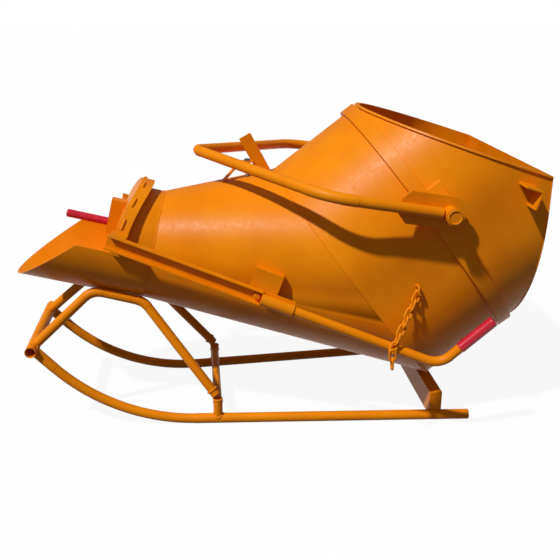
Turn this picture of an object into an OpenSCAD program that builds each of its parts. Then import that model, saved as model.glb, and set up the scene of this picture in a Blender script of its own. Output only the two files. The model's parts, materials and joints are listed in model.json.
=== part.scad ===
/* [Hopper] */
// Outer radius of the hopper drum's rounded ends
drum_r = 530; // [500:5:540]
// Half the length of the drum's flat sides, between its rounded ends
drum_flat = 110; // [60:5:140]
// Sheet thickness of the welded body
plate_t = 6; // [4:1:10]
// Tilt of the drum axis above the ground, degrees
drum_tilt = 37; // [32:1:42]
// Lengthwise place of the seam circle between cone and drum
seam_x = 741; // [700:1:800]
// Height of the centre of the seam circle
seam_z = 652; // [645:1:700]
// Lengthwise place of the upright back plate
back_x = 1490; // [1470:1:1560]
// Distance of the mouth's front edge from the seam, along the drum axis
mouth_reach = 505; // [500:1:600]
// Fall of the mouth plane towards the back plate, degrees
mouth_slope = 18; // [10:1:24]
// Width of the rim bar folded round the mouth
rim_w = 9; // [6:1:30]

/* [Stiffening ring] */
// Distance of the ring from the seam, along the drum axis
ring_reach = 420; // [380:1:425]
// Width of the ring along the drum axis
ring_w = 65; // [40:1:70]
// Height of the ring above the drum
ring_h = 18; // [12:1:40]

/* [Cone, neck and chute] */
// Outer radius of the outlet neck
neck_r = 260; // [220:1:280]
// Rise of the neck and chute towards the outlet, degrees
neck_tilt = 14.5; // [10:0.5:18]
// Lengthwise place of the seam between neck and cone
neck_x = -235; // [-260:1:-210]
// Height of the centre of that seam
neck_z = 823; // [810:1:840]
// Length of the chute from the neck seam to its tip
chute_len = 600; // [540:5:680]
// Length of the chute's side edges from the neck seam
chute_side_len = 344; // [300:2:400]
// Sheet thickness of the chute
chute_t = 6; // [4:1:10]

/* [Trunnions and bail] */
// Lengthwise place of the trunnion axis
pin_x = 1030; // [1015:1:1045]
// Height of the trunnion axis
pin_z = 1100; // [1085:1:1110]
// Radius of the trunnion pins
pin_r = 32.5; // [28:0.5:36]
// Radial running clearance of the bail on the pins
pin_fit = 0.05; // [0.01:0.01:0.1]
// Distance of the bail tubes' centres from the middle of the bucket
bail_half_w = 625; // [615:1:660]
// Radius of the bail tube
bail_tube_r = 24.15; // [20:0.05:30]
// Length of the straight parallel part of each bail arm from the pin
bail_straight = 520; // [480:5:560]
// Distance from the pins to the tip of the bail
bail_len = 1060; // [1040:5:1090]
// Rise of the lying bail above the ground plane, degrees
bail_rise = 9.5; // [9:0.5:12]
// Radius of the bend between the straight and the converging parts
bail_bend_r = 260; // [150:5:320]
// Radius of the bend at the tip of the bail
bail_tip_r = 46; // [40:1:60]
// Thickness of the bail's end plates
bail_plate_t = 12; // [8:1:16]
// Height of the bail's end plates
bail_plate_w = 140; // [110:2:160]
// Length of the bail's end plates ahead of the pin
bail_plate_len = 215; // [180:5:260]

/* [Gate] */
// Lengthwise place of the gate pivots
pivot_x = 230; // [215:1:245]
// Height of the gate pivots
pivot_z = 713; // [703:1:723]
// Distance of the arms' inner faces from the middle, at the pivots
pivot_half_w = 455; // [450:1:480]
// Inner radius of the curved gate skin about the pivots
gate_r = 650; // [630:1:660]
// Thickness of the gate skin
gate_t = 8; // [5:1:12]
// Gap between the neck's end and the gate skin
gate_gap = 1.5; // [0.5:0.5:4]
// Outer radius of the hood round the neck
hood_r = 300; // [290:1:310]
// Depth of the hood over the neck
hood_depth = 45; // [30:1:60]
// Height of the channel arms
arm_h = 64; // [50:1:80]
// Width of the channel arms' flanges
arm_flange = 34; // [25:1:40]
// Sheet thickness of the channel arms
arm_t = 5; // [4:1:8]
// Slope of the arms and the lever, degrees
arm_slope = 20.5; // [18:0.5:23]
// Spread of the arms towards the lever end, degrees
arm_spread = 8.9; // [8.5:0.1:10]
// Length of the arms from the pivot to the gate
arm_len = 690; // [680:1:710]
// Radius of the pivot bolts' shanks
bolt_r = 10; // [8:0.5:12]
// Radial running clearance on the pivot bolts
bolt_fit = 0.05; // [0.01:0.01:0.1]

/* [Lever] */
// Radius of the lever tube
lever_r = 21.2; // [18:0.1:25]
// Distance from the pivot to the bend of the lever
lever_len = 870; // [840:5:900]
// Length of the lever past its bend
lever_end = 300; // [270:5:330]
// Turn of the lever at its bend, degrees
lever_turn = 65; // [55:1:75]
// Radius of the lever's bend
lever_bend_r = 95; // [70:5:120]
// Length of the red grips
grip_len = 180; // [150:5:200]
// Wall of the red grips
grip_t = 3; // [2:0.5:5]

/* [Sled] */
// Radius of the sled tubes
tube_r = 24.15; // [20:0.05:30]
// Half the distance between the runners at their rear ends
rear_half_w = 397; // [380:1:420]
// Half the distance between the runners where they leave the ground
front_half_w = 302; // [295:1:310]
// Lengthwise place of the runners' rear ends
runner_rear_x = 1262; // [1230:2:1300]
// Lengthwise place where the runners leave the ground
runner_toe_x = -60; // [-90:2:-40]
// Radius of the runners' upward curve
runner_curve_r = 900; // [840:10:960]
// Angle that the runners' curve turns through, degrees
runner_turn = 47; // [44:1:50]
// Straight length of the runners after the curve
runner_nose = 130; // [110:5:160]
// Radius of the front cross tube
front_tube_r = 26.5; // [26:0.5:30]
// Width of the rear cross beam
beam_w = 60; // [50:1:64]
// Height of the rear cross beam above the runners' axes
beam_h = 120; // [115:1:140]
// Lengthwise place of the rear cross beam
beam_x = 1102; // [1095:1:1110]

/* [Hidden] */
$fn = 72;
big_fn = 300;
loft_fn = 96;
over = 4;
thin = 0.4;
seat_gap = 0.3;
// A bend's tube differs this much in radius from its straights, which run a little way into it
bend_swell = 0.8;
bend_lap = 8;
drum_far = 3 * drum_r;
cut = 4 * drum_r;
// Directions of the drum axis and of the line up across it
axis_dir = [cos(drum_tilt), 0, sin(drum_tilt)];
up_dir = [-sin(drum_tilt), 0, cos(drum_tilt)];
seam_c = [seam_x, 0, seam_z];
// Half-width of the drum at a distance up across it
function side_of(up) = sqrt(drum_r * drum_r - pow(max(0, abs(up) - drum_flat), 2));
mouth_p = seam_c + mouth_reach * axis_dir + (drum_r + drum_flat) * up_dir;
// Place of the pin across the drum
pin_p = [pin_x, 0, pin_z];
pin_up = (pin_p - seam_c) * up_dir;
pin_seat = side_of(pin_up);
doubler_t = 14;
doubler_w = 66;
doubler_len = 215;
pin_inset = 90;
pin_over = 22;
washer_r = pin_r + doubler_t;
cap_t = 9;
cap_lip = 5;
plate_in = bail_half_w - bail_tube_r - bail_plate_t;
pin_tip = plate_in + bail_plate_t + 2 * bail_tube_r + pin_over - cap_t;
plate_corner = bail_plate_w / 4;
// Gate frame
pivot_p = [pivot_x, 0, pivot_z];
hood_t = 8;
trough_gap = 4;
sector_w = 2 * hood_r + 2 * over;
bracket_t = 8;
bracket_len = 130;
bracket_h = 110;
bracket_drop = 38;
bracket_gap = 4;
bolt_head_r = 17;
bolt_head_h = 12;
bolt_seat = 60;
sleeve_len = 150;
sleeve_t = 6;
lever_start = 24;
lever_out = arm_t + lever_r + sleeve_t;
grip_round = 6;
hook_r = 5;
hook_len = 42;
hook_chain_share = 0.36;
hook_tail_share = 0.78;
hook_at = 640;
ear_len = 70;
ear_h = 44;
ear_reach = 90;
// Handle in front of the gate
post_w = 58;
post_depth = 52;
post_h = 165;
post_t = 6;
post_y = 34;
post_low = -6;
handle_r = 16;
handle_len = 190;
handle_up = 42;
// Bail rest
rest_w = 60;
rest_t = 8;
rest_foot = [330, 0, 1120];
rest_top = [215, 0, 1335];
strut_foot = [40, 0, 1050];
strut_top = [195, 0, 1215];
strut_w = 40;
rest_bolt_r = 9;
rest_bolt_len = 82;
rest_bolt_p = [225, 0, 1187];
// Stop lugs
lug_x = 1384;
lug_z = 1196;
lug_len = 80;
lug_w = 88;
lug_t = 8;
lug_drop = 84;
// Chain
link_wire = 5.2;
link_w = 13.5;
link_swell = 0.3;
link_lap = 1;
link_count = 7;
tail_count = 2;
eye_r = 4.5;
eye_ring = 20;
eye_out = 16;
eye_x = 930;
eye_z = 742;
eye_up = ([eye_x, 0, eye_z] - seam_c) * up_dir;
eye_p = [eye_x, -side_of(eye_up) - eye_out, eye_z];
chain_gap = 1.8;
// The origin is midway between the chute's tip and the back of the stiffening ring
chute_front = neck_x - chute_len * cos(neck_tilt) - (neck_r + chute_t) * sin(neck_tilt);
ring_back = seam_x + (ring_reach + ring_w) * cos(drum_tilt) + (drum_r + drum_flat + ring_h) * sin(drum_tilt);
datum_x = (chute_front + ring_back) / 2;
// Sled frame
nose_rise = runner_curve_r * (1 - cos(runner_turn)) + runner_nose * sin(runner_turn);
nose_run = runner_curve_r * sin(runner_turn) + runner_nose * cos(runner_turn);
splay = atan((rear_half_w - front_half_w) / (runner_rear_x - runner_toe_x));
front_x = runner_toe_x - nose_run * cos(splay);
front_z = tube_r + nose_rise;
front_y = front_half_w - nose_run * sin(splay);
bar_over = 46;
bar_bore_depth = 70;
tube_wall = 3.2;
post_x = 48;
post_r = 22;
post_bar_r = 20;
post_top = 128;
frame_share = 0.9;
frame_bend_r = 90;
frame_r = 22.5;
frame_y = 168;
frame_front = [-520, 656];
frame_rear = [-285, 590];
frame_foot = [40, 150];
paint = "orange";
grip_red = "crimson";
bolt_grey = "dimgray";

function unit(v) = v / norm(v);
function clamp_one(x) = max(-1, min(1, x));

// A straight rod between two points
module rod(a, b, r) {
    d = b - a;
    translate(a) rotate([0, acos(d[2] / norm(d)), atan2(d[1], d[0])]) cylinder(r = r, h = norm(d));
}

// A quarter-torus style bend at a vertex, tangent to both legs
module bend(a, v, b, bend_r, r) {
    u = unit(v - a);
    w = unit(b - v);
    turn = acos(clamp_one(u * w));
    n = unit(w - (w * u) * u);
    c = v - u * bend_r * tan(turn / 2) + n * bend_r;
    z = cross(-n, u);
    multmatrix([
        [-n[0], u[0], z[0], c[0]],
        [-n[1], u[1], z[1], c[1]],
        [-n[2], u[2], z[2], c[2]],
        [0, 0, 0, 1]
    ]) rotate_extrude(angle = turn) translate([bend_r, 0]) circle(r);
}

function trim(a, v, b, bend_r) = bend_r * tan(acos(clamp_one(unit(v - a) * unit(b - v))) / 2);

// A round bar along points, with its own bend radius at each inner point
module bent_bar(pts, radii, r) {
    last = len(pts) - 1;
    for (i = [0 : last - 1]) {
        d = unit(pts[i + 1] - pts[i]);
        from = i == 0 ? 0 : trim(pts[i - 1], pts[i], pts[i + 1], radii[i - 1]);
        to = i == last - 1 ? 0 : trim(pts[i], pts[i + 1], pts[i + 2], radii[i]);
        rod(pts[i] + d * max(0, from - bend_lap), pts[i + 1] - d * max(0, to - bend_lap), r);
    }
    for (i = [1 : last - 1]) bend(pts[i - 1], pts[i], pts[i + 1], radii[i - 1], r + bend_swell);
}

module on_drum() translate(seam_c) rotate([0, 90 - drum_tilt, 0]) children();
module on_neck() translate([neck_x, 0, neck_z]) rotate([0, neck_tilt - 90, 0]) children();
module on_bail() translate(pin_p) rotate([0, bail_rise, 0]) mirror([1, 0, 0]) children();
module both_sides(side) {
    if (side < 0) children();
    else mirror([0, 1, 0]) children();
}
// Frame of an arm: x runs back along the lever, y runs outwards, z is up
module on_arm() translate([pivot_x, -pivot_half_w, pivot_z])
    rotate([0, 0, -arm_spread]) rotate([0, arm_slope, 0]) mirror([0, 1, 0]) children();

// A solid of the drum's section: two round ends and the flats between them
module oblong(r, h) {
    for (x = [-drum_flat, drum_flat]) translate([x, 0, 0]) cylinder(r = r, h = h, $fn = big_fn);
    translate([-drum_flat, -r, 0]) cube([2 * drum_flat, 2 * r, h]);
}
// A wall of the drum's section, made of two half rings and two flat plates
module oblong_wall(r, t, h) {
    for (s = [-1, 1]) {
        translate([s * drum_flat, 0, 0]) rotate([0, 0, s < 0 ? 90 : -90])
            rotate_extrude(angle = 180, $fn = big_fn) translate([r - t, 0]) square([t, h]);
        translate([-drum_flat, s < 0 ? -r : r - t, 0]) cube([2 * drum_flat, t, h]);
    }
}
module behind(back) translate([back, -cut, -cut]) cube([cut, 2 * cut, 2 * cut]);
module above_mouth() translate(mouth_p) rotate([0, mouth_slope, 0])
    translate([-cut, -cut, 0]) cube([2 * cut, 2 * cut, cut]);
module cone_round(neck, drum, ext) hull() {
    on_neck() translate([0, 0, -thin]) cylinder(r = neck, h = thin + ext, $fn = loft_fn);
    on_drum() for (x = [-drum_flat, drum_flat])
        translate([x, 0, -thin]) cylinder(r = drum, h = thin + ext, $fn = loft_fn);
}
module sector(inner, outer) translate(pivot_p) rotate([90, 0, 0]) difference() {
    cylinder(r = outer, h = sector_w, center = true, $fn = big_fn);
    cylinder(r = inner, h = sector_w + over, center = true, $fn = big_fn);
}
module pivot_round(r) translate(pivot_p) rotate([90, 0, 0])
    cylinder(r = r, h = sector_w, center = true, $fn = big_fn);

module hopper_drum() color(paint) difference() {
    on_drum() oblong_wall(drum_r, plate_t, drum_far);
    behind(back_x - plate_t);
    above_mouth();
}

module back_plate() color(paint) difference() {
    intersection() {
        on_drum() oblong(drum_r, drum_far);
        translate([back_x - plate_t, -cut, 0]) cube([plate_t, 2 * cut, cut]);
    }
    above_mouth();
}

module mouth_rim() color(paint) {
    difference() {
        on_drum() oblong_wall(drum_r + rim_w, rim_w, drum_far);
        behind(back_x);
        above_mouth();
        on_drum() translate([0, 0, ring_reach - over]) oblong(drum_r + ring_h + over, ring_w + over);
        translate([0, 0, -rim_w]) difference() {
            translate([-cut, -cut, -cut]) cube(2 * cut);
            above_mouth();
        }
    }
}

module stiffening_ring() color(paint) on_drum() translate([0, 0, ring_reach])
    oblong_wall(drum_r + ring_h, ring_h, ring_w);

module cone_shell() color(paint) difference() {
    cone_round(neck_r, drum_r, 0);
    cone_round(neck_r - plate_t, drum_r - plate_t, over);
}

module neck_tube() color(paint) intersection() {
    on_neck() difference() {
        cylinder(r = neck_r, h = chute_len, $fn = big_fn);
        translate([0, 0, -over]) cylinder(r = neck_r - plate_t, h = chute_len + 2 * over, $fn = big_fn);
    }
    pivot_round(gate_r - gate_gap);
}

module chute() color(paint) on_neck() difference() {
    cylinder(r = neck_r + chute_t, h = chute_len, $fn = big_fn);
    translate([0, 0, -over]) cylinder(r = neck_r, h = chute_len + 2 * over, $fn = big_fn);
    translate([0, -cut, -over]) cube([cut, 2 * cut, cut]);
    translate([-neck_r - chute_t, 0, chute_len]) rotate([0, atan((chute_len - chute_side_len) / neck_r), 0])
        translate([-cut, -cut, 0]) cube([2 * cut, 2 * cut, cut]);
}

module trunnion(side) both_sides(side) color(paint) difference() {
    union() {
        intersection() {
            on_drum() translate([0, 0, ring_reach + ring_w]) oblong(drum_r + doubler_t, doubler_w);
            translate([pin_x - doubler_len, -drum_r - doubler_t - over, pin_z - doubler_len])
                cube([2 * doubler_len, drum_r, 2 * doubler_len]);
            translate(pin_p) rotate([0, 90 - drum_tilt, 0])
                translate([-doubler_len / 2, -cut, -cut]) cube([doubler_len, cut, 2 * cut]);
        }
        translate([pin_x, -pin_seat + pin_inset, pin_z]) rotate([90, 0, 0])
            cylinder(r = pin_r, h = pin_tip - pin_seat + pin_inset);
        translate([pin_x, -pin_seat + pin_inset, pin_z]) rotate([90, 0, 0])
            cylinder(r = washer_r, h = plate_in - seat_gap - pin_seat + pin_inset);
    }
    on_drum() oblong(drum_r, drum_far);
    on_drum() translate([0, 0, ring_reach - over]) oblong(drum_r + ring_h, ring_w + over);
}
module trunnion_near() trunnion(-1);
module trunnion_far() trunnion(1);

module stop_lug(side) both_sides(side) color(paint) difference() {
    translate([lug_x, -drum_r - lug_w, lug_z]) rotate([0, mouth_slope, 0]) union() {
        translate([-lug_len / 2, 0, -lug_t]) cube([lug_len, drum_r / 2, lug_t]);
        translate([lug_len / 2 - lug_t, 0, -lug_drop]) cube([lug_t, drum_r / 2, lug_drop]);
    }
    on_drum() oblong(drum_r, drum_far);
}
module stop_lug_near() stop_lug(-1);
module stop_lug_far() stop_lug(1);

// A flat bar between two points of the middle plane
module flat_bar(a, b, w, t) {
    d = b - a;
    translate(a) rotate([0, atan2(d[0], d[2]), 0]) translate([-t / 2, -w / 2, 0]) cube([t, w, norm(d)]);
}
// All that lies below the line along the top of the cone
module below_cone_top() {
    neck_top = [neck_x + neck_r * sin(neck_tilt), 0, neck_z + neck_r * cos(neck_tilt)];
    rise = seam_c + (drum_r + drum_flat) * up_dir - neck_top;
    translate(neck_top) rotate([0, -atan2(rise[2], rise[0]), 0])
        translate([-cut, -cut, -2 * cut]) cube(2 * cut);
}
module bail_rest() color(paint) difference() {
    union() {
        flat_bar(rest_foot, rest_top, rest_t, rest_w);
        flat_bar(strut_foot, strut_top, strut_w, rest_t);
        flat_bar(strut_top - [rest_t, 0, 0], strut_top + [rest_w, 0, 0], strut_w - rest_t, rest_t);
    }
    below_cone_top();
    translate(rest_bolt_p) cylinder(r = rest_bolt_r, h = rest_bolt_len, center = true);
}
module bail_rest_bolt() color(bolt_grey) translate(rest_bolt_p)
    cylinder(r = rest_bolt_r, h = rest_bolt_len, center = true);

module chain_eye() color(paint) difference() {
    translate(eye_p) rotate([0, 90, 0]) rotate_extrude() translate([eye_ring, 0]) circle(eye_r);
    on_drum() oblong(drum_r, drum_far);
}

function runner_y(x) = front_half_w + (x - runner_toe_x) * tan(splay);
module on_runner() translate([runner_toe_x, -front_half_w, tube_r]) rotate([0, 0, -splay]) children();
module runner(side) both_sides(side) color(paint) difference() {
    on_runner() {
        translate([-bend_lap, 0, 0]) rotate([0, 90, 0])
            cylinder(r = tube_r, h = (runner_rear_x - runner_toe_x) / cos(splay) + bend_lap);
        translate([0, 0, runner_curve_r]) rotate([90, 0, 0]) rotate([0, 0, -90 - runner_turn])
            rotate_extrude(angle = runner_turn) translate([runner_curve_r, 0]) circle(tube_r - bend_swell);
        translate([-runner_curve_r * sin(runner_turn), 0, runner_curve_r * (1 - cos(runner_turn))])
            rotate([0, runner_turn - 90, 0]) translate([0, 0, -bend_lap])
                cylinder(r = tube_r, h = runner_nose + bend_lap);
    }
    front_bar_round();
}
module runner_near() runner(-1);
module runner_far() runner(1);

module front_bar_round() translate([front_x, 0, front_z]) rotate([90, 0, 0])
    cylinder(r = front_tube_r, h = 2 * (front_y + bar_over), center = true);
module front_cross_tube() color(paint) difference() {
    front_bar_round();
    for (s = [-1, 1]) translate([front_x, s * (front_y + bar_over), front_z]) rotate([90, 0, 0])
        cylinder(r = front_tube_r - tube_wall, h = 2 * bar_bore_depth, center = true);
}

module frame_path() bent_bar([
    [front_x, -front_y * frame_share, front_z],
    [frame_front[0], -frame_y, frame_front[1]],
    [frame_rear[0], -frame_y, frame_rear[1]],
    [frame_foot[0], -runner_y(frame_foot[0]), frame_foot[1]]
], [frame_bend_r, frame_bend_r], frame_r);
module frame_tube(side) both_sides(side) color(paint) difference() {
    frame_path();
    front_bar_round();
    on_neck() translate([0, 0, -chute_len]) cylinder(r = neck_r + chute_t, h = 2 * chute_len, $fn = big_fn);
    runner_post_round();
    post_bar_round();
}
module frame_tube_near() frame_tube(-1);
module frame_tube_far() frame_tube(1);

module runner_post_round() rod(
    [post_x, -runner_y(post_x), tube_r], [post_x, -runner_y(post_x), post_top], post_r);
module runner_posts() color(paint) for (side = [-1, 1]) both_sides(side) difference() {
    runner_post_round();
    on_runner() translate([-runner_curve_r, 0, 0]) rotate([0, 90, 0])
        cylinder(r = tube_r, h = 2 * runner_curve_r);
}

module post_bar_round() rod(
    [post_x, -runner_y(post_x), post_top - post_bar_r],
    [post_x, runner_y(post_x), post_top - post_bar_r], post_bar_r);
module post_cross_tube() color(paint) difference() {
    post_bar_round();
    for (side = [-1, 1]) both_sides(side) runner_post_round();
}

module rear_cross_beam() color(paint) difference() {
    translate([beam_x - beam_w / 2, -runner_y(beam_x), tube_r]) cube([beam_w, 2 * runner_y(beam_x), beam_h]);
    for (side = [-1, 1]) both_sides(side) on_runner() rotate([0, 90, 0]) cylinder(r = tube_r, h = cut);
    cone_round(neck_r, drum_r, 0);
    on_drum() oblong(drum_r, drum_far);
}

module pivot_bracket(side) both_sides(side) color(paint) difference() {
    on_arm() translate([0, -bracket_gap - bracket_t, 0]) {
        translate([-bracket_len / 3, 0, -bracket_drop])
            cube([bracket_len, bracket_t, bracket_h + bracket_drop]);
        translate([-bracket_len / 3, -bracket_h, bracket_h])
            cube([bracket_len, bracket_h + bracket_t, bracket_t]);
    }
    cone_round(neck_r, drum_r, 0);
    pivot_bolt_shank(bolt_r);
}
module pivot_bracket_near() pivot_bracket(-1);
module pivot_bracket_far() pivot_bracket(1);

module pivot_bolt_shank(r) translate([pivot_x, -pivot_half_w + bolt_seat, pivot_z]) rotate([90, 0, 0])
    cylinder(r = r, h = bolt_seat + bolt_head_h + arm_t);
module pivot_bolt(side) both_sides(side) color(paint) difference() {
    union() {
        pivot_bolt_shank(bolt_r);
        translate([pivot_x, -pivot_half_w - arm_t - bolt_head_h / 2, pivot_z]) rotate([90, 0, 0])
            cylinder(r = bolt_head_r, h = bolt_head_h);
    }
    cone_round(neck_r, drum_r, 0);
}
module pivot_bolt_near() pivot_bolt(-1);
module pivot_bolt_far() pivot_bolt(1);

// Outline of the gate seen along the neck: a wide hood above, a disc that fits the trough below
module gate_outline() on_neck() {
    difference() {
        cylinder(r = hood_r, h = cut / 2, $fn = big_fn);
        translate([-cut, -cut, -over]) cube([cut, 2 * cut, cut]);
    }
    cylinder(r = neck_r - trough_gap, h = cut / 2, $fn = big_fn);
}
module gate_skin() color(paint) intersection() {
    sector(gate_r, gate_r + gate_t);
    gate_outline();
}

module gate_hood() color(paint) {
    intersection() {
        sector(gate_r - hood_depth, gate_r);
        on_neck() difference() {
            cylinder(r = hood_r, h = cut / 2, $fn = big_fn);
            translate([0, 0, -over]) cylinder(r = hood_r - hood_t, h = cut, $fn = big_fn);
            translate([-cut, -cut, -over]) cube([cut, 2 * cut, cut]);
        }
    }
}

module arm_round() on_arm() translate([-arm_len, 0, 0]) {
    translate([0, 0, -arm_h / 2]) cube([arm_len + lever_start, arm_t, arm_h]);
    for (z = [-arm_h / 2, arm_h / 2 - arm_t]) translate([0, 0, z])
        cube([arm_len + lever_start, arm_flange, arm_t]);
}
module gate_arm(side) both_sides(side) color(paint) difference() {
    union() {
        arm_round();
        on_arm() translate([-arm_len, -ear_reach, -ear_h / 2]) cube([ear_len, ear_reach, ear_h]);
    }
    on_neck() cylinder(r = hood_r, h = cut / 2, $fn = big_fn);
    translate([pivot_x, -pivot_half_w, pivot_z]) rotate([90, 0, 0])
        cylinder(r = bolt_r + bolt_fit, h = 2 * bolt_seat, center = true);
}
module gate_arm_near() gate_arm(-1);
module gate_arm_far() gate_arm(1);

// The handle bracket stands on the gate skin, square to it
gate_mid = neck_tilt;
module on_gate() translate(pivot_p) rotate([0, gate_mid - 90, 0]) translate([0, 0, gate_r + gate_t]) children();
module handle_bracket() color(paint) difference() {
    on_gate() translate([post_low, post_y - post_w / 2, -post_depth]) difference() {
        cube([post_h, post_w, 2 * post_depth]);
        translate([-over, post_t, -over])
            cube([post_h - post_t + over, post_w - 2 * post_t, 2 * post_depth - post_t + over]);
    }
    pivot_round(gate_r + gate_t);
    handle_round(handle_r);
}
module handle_round(r) on_gate() translate([handle_up, post_y, post_depth - post_t])
    cylinder(r = r, h = handle_len + post_t);
module front_handle() color(paint) handle_round(handle_r);
module front_grip() color(grip_red) difference() {
    on_gate() translate([handle_up, post_y, post_depth]) union() {
        cylinder(r = handle_r + grip_t, h = handle_len);
        translate([0, 0, handle_len]) cylinder(r1 = handle_r + grip_t, r2 = handle_r, h = grip_round);
    }
    handle_round(handle_r);
}

lever_bend_p = [lever_len, lever_out, 0];
lever_dir = [cos(lever_turn), 0, sin(lever_turn)];
module lever_path(r) on_arm() bent_bar(
    [[lever_start, lever_out, 0], lever_bend_p, lever_bend_p + lever_end * lever_dir], [lever_bend_r], r);
module lever_tube() color(paint) lever_path(lever_r);
module lever_sleeve() color(paint) difference() {
    on_arm() {
        translate([lever_start, lever_out, 0]) rotate([0, 90, 0])
            cylinder(r = lever_r + sleeve_t, h = sleeve_len);
        translate([lever_start, 0, -arm_h / 2]) cube([sleeve_len, arm_t + sleeve_t, arm_h]);
    }
    lever_path(lever_r);
}
module lever_grip() color(grip_red) difference() {
    on_arm() translate(lever_bend_p + (lever_end - grip_len) * lever_dir) rotate([0, 90 - lever_turn, 0]) union() {
        cylinder(r = lever_r + grip_t, h = grip_len + grip_t);
        translate([0, 0, grip_len + grip_t]) cylinder(r1 = lever_r + grip_t, r2 = lever_r, h = grip_round);
    }
    lever_path(lever_r);
}
module chain_hook() color(paint) difference() {
    on_arm() translate([hook_at, lever_out, 0]) rotate([-90, 0, 0])
        cylinder(r = hook_r, h = lever_r + hook_len);
    lever_path(lever_r);
}

module bail_bow() color(paint) on_bail() bent_bar([
    [pin_r + cap_t, -bail_half_w, 0],
    [bail_straight, -bail_half_w, 0],
    [bail_len, 0, 0],
    [bail_straight, bail_half_w, 0],
    [pin_r + cap_t, bail_half_w, 0]
], [bail_bend_r, bail_tip_r, bail_bend_r], bail_tube_r);

module bail_plate(side) both_sides(side) color(paint) difference() {
    on_bail() translate([0, -plate_in, 0]) rotate([90, 0, 0]) linear_extrude(bail_plate_t) difference() {
        union() {
            circle(bail_plate_w / 2);
            polygon([
                [0, -bail_plate_w / 2], [bail_plate_len - plate_corner, -bail_plate_w / 2],
                [bail_plate_len, -plate_corner], [bail_plate_len, plate_corner],
                [bail_plate_len - plate_corner, bail_plate_w / 2], [0, bail_plate_w / 2]
            ]);
        }
        circle(pin_r + pin_fit);
    }
    bail_bow();
}
module bail_plate_near() bail_plate(-1);
module bail_plate_far() bail_plate(1);

module pin_cap(side) both_sides(side) color(paint) translate([pin_x, -pin_tip, pin_z]) rotate([90, 0, 0])
    cylinder(r = pin_r + cap_lip, h = cap_t);
module pin_cap_near() pin_cap(-1);
module pin_cap_far() pin_cap(1);

arm_x = [cos(arm_spread) * cos(arm_slope), -sin(arm_spread) * cos(arm_slope), -sin(arm_slope)];
arm_y = [-sin(arm_spread), -cos(arm_spread), 0];
hook_root = [pivot_x, -pivot_half_w, pivot_z] + hook_at * arm_x + (lever_out + lever_r) * arm_y;
hook_p = hook_root + hook_chain_share * hook_len * arm_y;
tail_p = hook_root + hook_tail_share * hook_len * arm_y;
// The chain runs straight from the foot of the eye to the hook, with its end links round both
eye_low = eye_p - [0, 0, eye_ring];
chain_dir = unit(hook_p - eye_low);
chain_top = eye_low - (eye_r + link_wire + chain_gap) * chain_dir;
link_step = 2 * link_wire + chain_gap;
chain_len = norm(hook_p - chain_top) + link_wire + hook_r + chain_gap;
// Half the length of a link between the centres of its end wires, so that the chain just reaches
link_half = (chain_len + (link_count - 1) * link_step) / (2 * link_count);
link_in = link_half - link_w;
link_pitch = 2 * link_half - link_step;

// One chain link: two half rings and two straight wires, lying in its own xz plane
module link() {
    for (s = [-1, 1]) {
        translate([0, 0, s * link_in]) rotate([90, 0, 0]) rotate([0, 0, s < 0 ? 180 : 0])
            rotate_extrude(angle = 180) translate([link_w, 0]) circle(link_wire + link_swell);
        translate([s * link_w, 0, -link_in - link_lap]) cylinder(r = link_wire, h = 2 * (link_in + link_lap));
    }
}
// A run of links down a direction from the first end wire, each turned a quarter from the last
module links(start, dir, count) {
    y = unit([0, 1, 0] - dir[1] * dir);
    x = cross(y, dir);
    multmatrix([
        [x[0], y[0], dir[0], start[0]],
        [x[1], y[1], dir[1], start[1]],
        [x[2], y[2], dir[2], start[2]],
        [0, 0, 0, 1]
    ]) for (i = [0 : count - 1])
        translate([0, 0, link_half + i * link_pitch]) rotate([0, 0, i % 2 * 90]) link();
}
module safety_chain() color(paint) links(chain_top, chain_dir, link_count);
module chain_tail() color(paint)
    links(tail_p + [0, 0, hook_r + link_wire + chain_gap], [0, 0, -1], tail_count);

module placed() translate([-datum_x, 0, 0]) children();
placed() hopper_drum();
placed() back_plate();
placed() mouth_rim();
placed() stiffening_ring();
placed() cone_shell();
placed() neck_tube();
placed() chute();
placed() trunnion_near();
placed() trunnion_far();
placed() stop_lug_near();
placed() stop_lug_far();
placed() bail_rest();
placed() bail_rest_bolt();
placed() chain_eye();
placed() runner_near();
placed() runner_far();
placed() front_cross_tube();
placed() frame_tube_near();
placed() frame_tube_far();
placed() runner_posts();
placed() post_cross_tube();
placed() rear_cross_beam();
placed() pivot_bracket_near();
placed() pivot_bracket_far();
placed() pivot_bolt_near();
placed() pivot_bolt_far();
placed() gate_skin();
placed() gate_hood();
placed() gate_arm_near();
placed() gate_arm_far();
placed() handle_bracket();
placed() front_handle();
placed() front_grip();
placed() lever_tube();
placed() lever_sleeve();
placed() lever_grip();
placed() chain_hook();
placed() bail_bow();
placed() bail_plate_near();
placed() bail_plate_far();
placed() pin_cap_near();
placed() pin_cap_far();
placed() safety_chain();
placed() chain_tail();
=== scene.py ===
"""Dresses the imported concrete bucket: paint, weld beads, grips, bolts and a plain studio."""
import json
import math

import bmesh
import bpy
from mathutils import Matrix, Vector


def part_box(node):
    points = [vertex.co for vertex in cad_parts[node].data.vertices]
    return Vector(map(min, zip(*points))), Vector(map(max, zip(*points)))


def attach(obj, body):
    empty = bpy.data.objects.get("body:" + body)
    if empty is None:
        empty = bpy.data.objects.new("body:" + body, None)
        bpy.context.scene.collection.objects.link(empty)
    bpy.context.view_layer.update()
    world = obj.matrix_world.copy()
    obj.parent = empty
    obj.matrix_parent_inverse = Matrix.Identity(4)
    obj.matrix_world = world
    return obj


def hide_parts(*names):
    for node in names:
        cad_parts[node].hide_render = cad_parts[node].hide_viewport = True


bl_info = {
    "name": "Lay-down Concrete Bucket",
    "version": (1, 0, 0),
    "blender": (4, 5, 0),
    "location": "View3D > Sidebar > Bucket",
    "description": "Paints and details a crane-handled concrete bucket on its sled",
    "category": "Object",
}

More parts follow.
